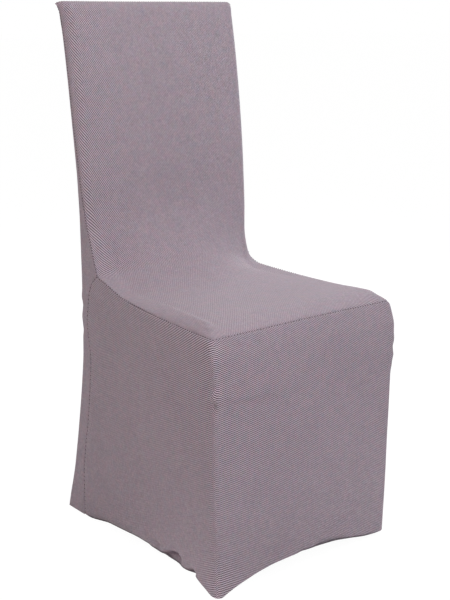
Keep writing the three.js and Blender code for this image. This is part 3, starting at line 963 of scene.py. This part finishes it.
def lay_sheet(panel, knit):
    """The mesh of a panel: its outer face, its inner face and the edges between them."""
    across, down = panel.across(), panel.down()
    *wales, course = (size / MM for size in weave_sizes(knit, panel.name))
    loops = loops_across(panel, across, *wales)
    thickness = knit.thickness / MM
    bm = bmesh.new()
    uv = bm.loops.layers.uv.new("loops")
    clearness, lean, shade = (
        bm.verts.layers.float.new(name) for name in ("weave_clearness_and_highlight", "weave_lean", "hem_shade")
    )
    bmesh.ops.create_grid(bm, x_segments=panel.columns - 1, y_segments=panel.rows - 1, size=0.5)
    places = {}
    for vert in bm.verts:
        c = round((vert.co.x + 0.5) * (panel.columns - 1))
        r = round((0.5 - vert.co.y) * (panel.rows - 1))
        places[vert] = (r, c)
    outer = list(bm.verts)
    rim = [edge for edge in bm.edges if edge.is_boundary]
    copy = bmesh.ops.duplicate(bm, geom=outer + list(bm.edges) + list(bm.faces))
    twin = copy["vert_map"]
    for vert in outer:
        places[twin[vert]] = places[vert]
    inner_faces = [item for item in copy["geom"] if isinstance(item, bmesh.types.BMFace)]
    bmesh.ops.reverse_faces(bm, faces=inner_faces)
    inner_edges = [item for item in copy["geom"] if isinstance(item, bmesh.types.BMEdge)]
    rims = rim + [edge for edge in inner_edges if edge.is_boundary]
    for vert in outer:
        r, c = places[vert]
        point, normal = panel.grid[r][c], panel.normals[r][c]
        near_seam = seam_distance(panel, r, c, across, down) / (knit.seam_width / MM)
        lift = relief(panel.name, point) - knit.seam_depth / MM * math.exp(-near_seam**2)
        above_hem = math.inf if panel.bottom_sewn else down[-1][c] - down[r][c]
        curl = max(0.0, 1 - above_hem / (thickness / 2))
        rounding = thickness / 2 * (1 - math.sqrt(1 - curl * curl))
        turned = HEM_FOLD * smoothstep(*HEM_FOLD_END, above_hem)
        surface = point + normal * lift + seam_pull(panel, r, c, knit.seam_gap / MM)
        surface += hem_curl(panel.name, point, normal, above_hem)
        vert.co = (surface - normal * rounding + TO_FRAME) * MM
        under = thickness + turned * (1 - curl) - rounding
        twin[vert].co = (surface - normal * under + TO_FRAME) * MM
        for side in (vert, twin[vert]):
            side[clearness] = weave_clearness_and_highlight(panel.name, point)
            side[lean] = weave_lean(panel.name, point)
            side[shade] = hem_shade(panel.name, point, above_hem)
    bmesh.ops.bridge_loops(bm, edges=rims)
    for face in bm.faces:
        face.smooth = True
        for loop in face.loops:
            r, c = places[loop.vert]
            loop[uv].uv = (loops[r][c], -down[r][c] / course)
    for edge in rims:
        if edge.is_valid:
            at_hem = all(places[vert][0] == panel.rows - 1 for vert in edge.verts)
            edge.smooth = at_hem and not panel.bottom_sewn
    return finished_mesh(bm, panel.name)


def put(name, data):
    """Makes an object and links it to the scene."""
    made = bpy.data.objects.new(name, data)
    bpy.context.scene.collection.objects.link(made)
    return made


def show(piece, material, *nodes):
    """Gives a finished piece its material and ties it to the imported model."""
    piece.data.materials.append(material)
    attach(piece, "root")
    if nodes:
        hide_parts(*nodes)


def lay_panel(name):
    """Builds one panel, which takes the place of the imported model's plain one."""
    cover = bpy.context.scene.chair_cover
    piece = put(f"{name}_cloth", lay_sheet(panels()[name], cover))
    show(piece, knit_material(f"knit_{name}", cover), name)


# ---- Materials ----


class Graph:
    """A short way to write the nodes of a material or a world."""

    def __init__(self, owner):
        self.owner = owner
        owner.use_nodes = True
        self.tree = owner.node_tree
        self.tree.nodes.clear()

    def node(self, kind, sources=None, **settings):
        """Makes a node, feeds its inputs from sockets or plain values, and returns its outputs."""
        made = self.tree.nodes.new(kind)
        for key, value in settings.items():
            setattr(made, key, value)
        for key, source in (sources or {}).items():
            if isinstance(source, bpy.types.NodeSocket):
                self.tree.links.new(source, made.inputs[key])
            else:
                made.inputs[key].default_value = source
        return made.outputs

    def math(self, operation, *sources):
        return self.node("ShaderNodeMath", dict(enumerate(sources)), operation=operation)[0]

    def vector(self, operation, *sources):
        return self.node("ShaderNodeVectorMath", dict(enumerate(sources)), operation=operation)[0]

    def mix_colour(self, share, first, second):
        sources = {"Factor": share, 6: first, 7: second}
        return self.node("ShaderNodeMix", sources, data_type="RGBA", clamp_factor=False)[2]

    def spread(self, *sources):
        """A value stretched from one range to another: its low and high, and the new ones."""
        return self.node("ShaderNodeMapRange", dict(enumerate(sources)))[0]

    def place(self):
        return self.node("ShaderNodeTexCoord")["Object"]

    def attribute(self, name):
        return self.node("ShaderNodeAttribute", attribute_name=name)["Fac"]

    def noise(self, sizes, output="Fac"):
        sources = dict(zip(("Scale", "Detail", "Roughness"), sizes), Vector=self.place())
        return self.node("ShaderNodeTexNoise", sources)[output]

    def camera_mix(self, share, lit, seen):
        """What the light meets, and a share of what the camera sees instead."""
        ray = self.node("ShaderNodeLightPath")["Is Camera Ray"]
        shares = {0: self.math("MULTIPLY", ray, share), 1: lit, 2: seen}
        return self.node("ShaderNodeMixShader", shares)[0]

    def finish(self, surface, kind="ShaderNodeOutputMaterial"):
        self.node(kind, {"Surface": surface})
        return self.owner

    def finish_cloth(self, relief, cloth):
        """Ends a material in one rough surface with a fine relief."""
        bump = self.node("ShaderNodeBump", relief)[0]
        return self.finish(self.node("ShaderNodeBsdfPrincipled", {"Normal": bump, **cloth})[0])


def knit_material(name, cover):
    """Two yarns knitted in offset rows of small raised loops, which line up in diagonals."""
    graph = Graph(bpy.data.materials.new(name))
    uv = graph.node("ShaderNodeUVMap", uv_map="loops")["UV"]
    across, down, _ = graph.node("ShaderNodeSeparateXYZ", {0: uv})
    sway = graph.math("SUBTRACT", graph.noise(SWAY), 0.5)
    across = graph.math("ADD", across, sway)
    lean, clear, hem = map(graph.attribute, ("weave_lean", "weave_clearness_and_highlight", "hem_shade"))

    def diagonal(way, share):
        along = graph.math("MULTIPLY", graph.math(way, across, down), 2 * math.pi)
        return graph.math("MULTIPLY", graph.math("COSINE", along), share)

    falling = diagonal("ADD", lean)
    rising = diagonal("SUBTRACT", graph.math("SUBTRACT", 1.0, lean))
    loops = graph.math("ADD", falling, rising)
    fibre = graph.math("SUBTRACT", graph.noise(FIBRES), 0.5)
    swing = graph.math("MULTIPLY", graph.math("MULTIPLY", loops, clear), 0.5)
    fibres = graph.math("MULTIPLY", fibre, FIBRE_TONE)
    tone = graph.math("ADD", graph.math("ADD", swing, 0.5), fibres)
    # a tone past 1 paints the loops paler than the pale yarn: a painted highlight where the
    # clearness goes past 1
    limits = dict(zip(("Min", "Max"), TONE_LIMITS))
    limited = graph.node("ShaderNodeClamp", {"Value": tone, **limits})[0]
    yarns = graph.mix_colour(limited, (*cover.dark_yarn, 1), (*cover.pale_yarn, 1))
    amounts = [cover.mottle * share for share in DYE_SHARES]
    plain = [1 - amount / 2 for amount in amounts]
    tint = graph.vector("MULTIPLY_ADD", graph.noise(DYE_SPOTS, "Color"), amounts, plain)
    dyed = graph.vector("MULTIPLY", yarns, tint)
    shade = graph.math("ADD", graph.noise(WIDE_PATCHES), graph.noise(SMALL_PATCHES))
    patches = graph.spread(shade, *PATCH_SHADES)
    seen = graph.math("SUBTRACT", 1.0, graph.math("MULTIPLY", clear, GRAIN_HIDDEN))
    grain = graph.math("MULTIPLY", graph.math("SUBTRACT", graph.noise(GRAIN), 0.5), seen)
    grain = graph.math("ADD", graph.math("MULTIPLY", grain, cover.grain), 1.0)
    lit = graph.math("MULTIPLY", patches, grain)
    lit = graph.math("MULTIPLY", lit, graph.math("SUBTRACT", 1.0, hem))
    colour = graph.node("ShaderNodeVectorMath", {0: dyed, "Scale": lit}, operation="SCALE")[0]
    height = graph.math("ADD", loops, graph.math("MULTIPLY", fibre, FIBRE_HEIGHT))
    return graph.finish_cloth(
        {"Strength": 0.35, "Distance": 0.0004, "Height": height},
        {
            "Base Color": colour,
            "Roughness": graph.spread(tone, 0.0, 1.0, *YARN_ROUGHNESS),
            "Specular IOR Level": 0.2,
            "Sheen Weight": 0.3,
            "Sheen Roughness": 0.4,
        },
    )


def thread_and_shade_material(cover):
    """Dark twisted sewing thread, dark partly as painted shade: its beads stand in for the shadows
    in the stitch holes between the panels.
    """
    graph = Graph(bpy.data.materials.new("seam_thread_and_shade"))
    twist = graph.noise(TWIST)
    shades = ((*(value * share for value in cover.thread_and_shade_colour), 1) for share in THREAD_SHADES)
    return graph.finish_cloth(
        {"Strength": 0.4, "Distance": 0.0002, "Height": twist},
        {
            "Base Color": graph.mix_colour(twist, *shades),
            "Roughness": 0.8,
            "Specular IOR Level": 0.25,
        },
    )


# ---- Stitches ----


def seam_lines(cover):
    """Each seam: its panel, how far apart its stitches lie, and its points with their normals."""
    inside, outside, skirt = panels().values()
    backrest = range(len(BACKREST_WALKS))
    below = range(len(BACKREST_WALKS) - 1, outside.rows)

    def across(panel, spacing):
        return panel.name, spacing, list(zip(panel.grid[0], panel.normals[0]))

    def down(panel, spacing, rows, column):
        line = [(panel.grid[r][column], panel.normals[r][column]) for r in rows]
        return panel.name, spacing, line

    return [
        down(inside, cover.back_stitch, backrest, 0),
        down(inside, cover.back_stitch, backrest, -1),
        across(inside, cover.back_stitch),
        across(skirt, cover.seat_stitch),
        down(outside, cover.rear_stitch, below, 0),
        down(outside, cover.rear_stitch, below, -1),
    ]


def along(line, spacing):
    """Points at even spacing along a line, each with its direction and its normal."""
    walked, wanted = 0.0, spacing / 2
    for (a, normal_a), (b, normal_b) in zip(line, line[1:]):
        length = (b - a).length
        while length > 0 and wanted <= walked + length:
            share = (wanted - walked) / length
            normal = lerp(normal_a, normal_b, share).normalized()
            yield lerp(a, b, share), (b - a).normalized(), normal
            wanted += spacing
        walked += length


def sew_stitches(cover):
    """Short threads across the seams, in one mesh."""
    bm = bmesh.new()
    size = cover.thread_width / MM
    for panel, spacing, line in seam_lines(cover):
        for point, direction, normal in along(line, spacing / MM):
            side = normal.cross(direction).normalized()
            slant = (side + direction * STITCH_SLANT).normalized()
            flat = normal.cross(slant).normalized()
            sunk = relief(panel, point) + STITCH_LIFT - cover.seam_depth / MM
            place = Matrix.Identity(4)
            for i, (axis, share) in enumerate(zip((slant, flat, normal), STITCH_SHAPE)):
                for j, value in enumerate(axis * share * size):
                    place[j][i] = value * MM
            place.translation = (point + normal * sunk + TO_FRAME) * MM
            bmesh.ops.create_icosphere(bm, subdivisions=1, radius=1, matrix=place)
    bmesh.ops.recalc_face_normals(bm, faces=bm.faces)
    for face in bm.faces:
        face.smooth = True
    return finished_mesh(bm, "seam_stitches")


# ---- Settings ----


def distance(name, description, default, low=0.002, high=0.02):
    return bpy.props.FloatProperty(
        name=name, description=description, default=default, min=low, max=high,
        precision=5, subtype="DISTANCE", unit="LENGTH",
    )


def amount(name, description, default, high=1):
    return bpy.props.FloatProperty(
        name=name, description=description, default=default, min=0, max=high,
        subtype="FACTOR" if high == 1 else "NONE",
    )


def colour_property(name, description, default):
    return bpy.props.FloatVectorProperty(
        name=name, description=description, default=default, size=3, min=0, max=1,
        subtype="COLOR",
    )


class ChairCoverSettings(bpy.types.PropertyGroup):
    """Sizes and colours of the cover."""

    thickness: distance("Knit thickness", "Thickness of the knit", 0.002, 0.0008, 0.004)
    seam_gap: distance(
        "Seam gap", "How far each panel stops short of a seam", 0.00025, 0.0001, 0.001
    )
    seam_width: distance(
        "Seam width", "How far from a seam the cloth is drawn down to it", 0.0026, 0.001, 0.01
    )
    seam_depth: distance("Seam depth", "How deep the seams lie", 0.0012, 0.0, 0.004)
    body_wale: distance("Body wale", "Width of one repeat of the knit on the back and seat", 0.0043)
    body_edge_wale: distance(
        "Body edge wale", "Width of a repeat on the rolled edges of the back", 0.0021, 0.001
    )
    body_course: distance(
        "Body course", "Height of one repeat of the knit on the back and seat", 0.0062
    )
    skirt_wale: distance("Skirt wale", "Width of one repeat of the knit on the front", 0.006)
    skirt_side_wale: distance(
        "Skirt side wale", "Width of a repeat round the front corners", 0.0071
    )
    skirt_rear_wale: distance(
        "Skirt rear wale", "Width of a repeat at the rear of those sides", 0.0044
    )
    skirt_course: distance("Skirt course", "Height of one repeat of the knit on the skirt", 0.0037)
    back_stitch: distance(
        "Back stitches", "Distance between stitches round the backrest", 0.0054, 0.003
    )
    seat_stitch: distance(
        "Seat stitches", "Distance between stitches round the seat", 0.0065, 0.003
    )
    rear_stitch: distance(
        "Rear stitches", "Distance between stitches down the rear seams", 0.0088, 0.003
    )
    thread_width: distance(
        "Thread width", "Width of a stitch of the sewing thread", 0.0012, 0.0005, 0.003
    )
    dark_yarn: colour_property("Dark yarn", "Colour of the dark yarn", (0.06, 0.02, 0.04))
    pale_yarn: colour_property("Pale yarn", "Colour of the pale yarn", (0.733, 0.62, 0.7))
    # Partly painted shade: the thread is this dark to stand in for the shadows in the stitch holes
    # along the seams.
    thread_and_shade_colour: colour_property(
        "Thread colour", "Colour of the sewing thread", (0.06, 0.035, 0.045)
    )
    mottle: amount("Mottle", "How much the colour of the knit varies from spot to spot", 0.26)
    grain: amount(
        "Grain", "How much the shade of the knit varies from one small patch to the next", 0.52
    )


class ChairCoverStageSettings(bpy.types.PropertyGroup):
    """Floor and light."""

    floor_size: distance("Floor size", "Width of the floor", 60.0, 4.0, 200.0)
    floor_glow: amount(
        "Floor glow", "How much of the floor's white doesn't depend on the light", 0.9
    )
    # The spot is painted light: a patch of floor that glows, though it is no lamp, and lights the
    # skirt near it.
    glow_spot_reach: distance(
        "Spot reach", "How far the bright spot on the floor reaches", 0.2, 0.05, 2.0
    )
    glow_spot_strength: amount("Spot strength", "How much more light that spot gives back", 0.34, 5)
    ambient: amount("Ambient light", "Strength of the light from all round", 0.3, 5)
    lamp_strength: amount("Lamp strength", "Strength of all the lamps together", 1.0, 10)


# ---- The stage ----


def floor_material(settings):
    """Pale floor: white to the camera under a soft shadow, diffuse to the light, and with a spot of
    painted light beside the front left corner that glows though it is no lamp.
    """
    graph = Graph(bpy.data.materials.new("pale_floor"))
    diffuse = graph.node("ShaderNodeBsdfDiffuse", {"Color": FLOOR_COLOUR})[0]
    glow = graph.node("ShaderNodeEmission", {"Color": WHITE, "Strength": FLOOR_GLOW})[0]
    away = graph.node(
        "ShaderNodeVectorMath", {0: graph.place(), 1: GLOW_SPOT_CENTRE}, operation="DISTANCE"
    )["Value"]
    reach = settings.glow_spot_reach
    strength = graph.spread(away, reach, reach / 4, 0.0, settings.glow_spot_strength)
    # painted light: this part of the floor glows, though it is no lamp, to brighten the skirt near
    # the front left corner
    spot = graph.node("ShaderNodeEmission", {"Strength": strength})[0]
    lit = graph.node("ShaderNodeAddShader", {0: diffuse, 1: spot})[0]
    return graph.finish(graph.camera_mix(settings.floor_glow, lit, glow))


def make_floor(settings):
    bm = bmesh.new()
    bmesh.ops.create_grid(bm, x_segments=1, y_segments=1, size=settings.floor_size / 2)
    floor = put("floor", finished_mesh(bm, "floor"))
    floor.data.materials.append(floor_material(settings))


def aim(name, data, place, direction):
    """Stands a lamp or a camera at a place, looking in a direction."""
    holder = put(name, data)
    holder.location = place
    holder.rotation_mode = "QUATERNION"
    holder.rotation_quaternion = direction.to_track_quat("-Z", "Y")
    return holder


def make_light(settings):
    graph = Graph(bpy.data.worlds.new("studio"))
    sky = graph.node("ShaderNodeBackground", {"Color": SKY, "Strength": settings.ambient})[0]
    white = graph.node("ShaderNodeBackground", {"Color": WHITE})[0]
    bpy.context.scene.world = graph.finish(
        graph.camera_mix(1.0, sky, white), "ShaderNodeOutputWorld"
    )
    centre = (CAD_LOW + CAD_HIGH) / 2
    for name, offset, strength, colour in LAMPS:
        offset = Vector(offset)
        lamp = bpy.data.lights.new(name, "AREA")
        lamp.shape = "DISK"
        lamp.color = colour
        lamp.size = LAMP_SIZE
        # at strength 1 a white surface that faces the lamp shows white
        lamp.energy = settings.lamp_strength * strength * (math.pi * offset.length) ** 2
        aim(name, lamp, centre + offset, -offset)


def make_camera():
    data = bpy.data.cameras.new("camera")
    data.lens = LENS
    data.sensor_width = 36
    bpy.context.scene.camera = aim("camera", data, CAMERA_PLACE, Vector(CAMERA_AIM))


# ---- Operators ----


class CHAIRCOVER_OT_inside(bpy.types.Operator):
    """Lay the panel over the inside back and the seat"""

    bl_idname = "chair_cover.inside_back_and_seat"
    bl_label = "Inside back and seat"
    bl_options = {"REGISTER", "UNDO"}

    def execute(self, context):
        lay_panel(BODY)
        return {"FINISHED"}


class CHAIRCOVER_OT_outside(bpy.types.Operator):
    """Lay the panel down the outside of the back"""

    bl_idname = "chair_cover.outside_back"
    bl_label = "Outside back"
    bl_options = {"REGISTER", "UNDO"}

    def execute(self, context):
        lay_panel(BACK)
        return {"FINISHED"}


class CHAIRCOVER_OT_skirt(bpy.types.Operator):
    """Hang the skirt round the seat"""

    bl_idname = "chair_cover.skirt"
    bl_label = "Skirt"
    bl_options = {"REGISTER", "UNDO"}

    def execute(self, context):
        lay_panel(SKIRT)
        return {"FINISHED"}


class CHAIRCOVER_OT_stitches(bpy.types.Operator):
    """Sew the seams"""

    bl_idname = "chair_cover.seam_stitches"
    bl_label = "Seam stitches"
    bl_options = {"REGISTER", "UNDO"}

    def execute(self, context):
        cover = context.scene.chair_cover
        show(put("seam_stitches", sew_stitches(cover)), thread_and_shade_material(cover))
        return {"FINISHED"}


class CHAIRCOVER_OT_stage(bpy.types.Operator):
    """Set the floor, the light and the camera"""

    bl_idname = "chair_cover.stage"
    bl_label = "Stage"
    bl_options = {"REGISTER", "UNDO"}

    def execute(self, context):
        settings = context.scene.chair_cover_stage
        make_floor(settings)
        make_light(settings)
        make_camera()
        return {"FINISHED"}


STEPS_IN_ORDER = (
    CHAIRCOVER_OT_inside,
    CHAIRCOVER_OT_outside,
    CHAIRCOVER_OT_skirt,
    CHAIRCOVER_OT_stitches,
    CHAIRCOVER_OT_stage,
)


class CHAIRCOVER_PT_panel(bpy.types.Panel):
    """Lists the cover's settings and the steps that build it"""

    bl_idname = "CHAIRCOVER_PT_panel"
    bl_label = "Chair Cover"
    bl_space_type = "VIEW_3D"
    bl_region_type = "UI"
    bl_category = "Chair Cover"

    def draw(self, context):
        layout = self.layout
        for settings in (context.scene.chair_cover, context.scene.chair_cover_stage):
            column = layout.column()
            for name in settings.__annotations__:
                column.prop(settings, name)
        for operator in STEPS_IN_ORDER:
            layout.operator(operator.bl_idname)


CLASSES = (ChairCoverSettings, ChairCoverStageSettings, *STEPS_IN_ORDER, CHAIRCOVER_PT_panel)


def register():
    for cls in CLASSES:
        bpy.utils.register_class(cls)
    bpy.types.Scene.chair_cover = bpy.props.PointerProperty(type=ChairCoverSettings)
    bpy.types.Scene.chair_cover_stage = bpy.props.PointerProperty(type=ChairCoverStageSettings)


def unregister():
    del bpy.types.Scene.chair_cover_stage
    del bpy.types.Scene.chair_cover
    for cls in reversed(CLASSES):
        bpy.utils.unregister_class(cls)


def main():
    register()
    bpy.context.scene.view_settings.view_transform = "Standard"
    bpy.ops.chair_cover.inside_back_and_seat()
    bpy.ops.chair_cover.outside_back()
    bpy.ops.chair_cover.skirt()
    bpy.ops.chair_cover.seam_stitches()
    bpy.ops.chair_cover.stage()


if __name__ == "__main__":
    main()
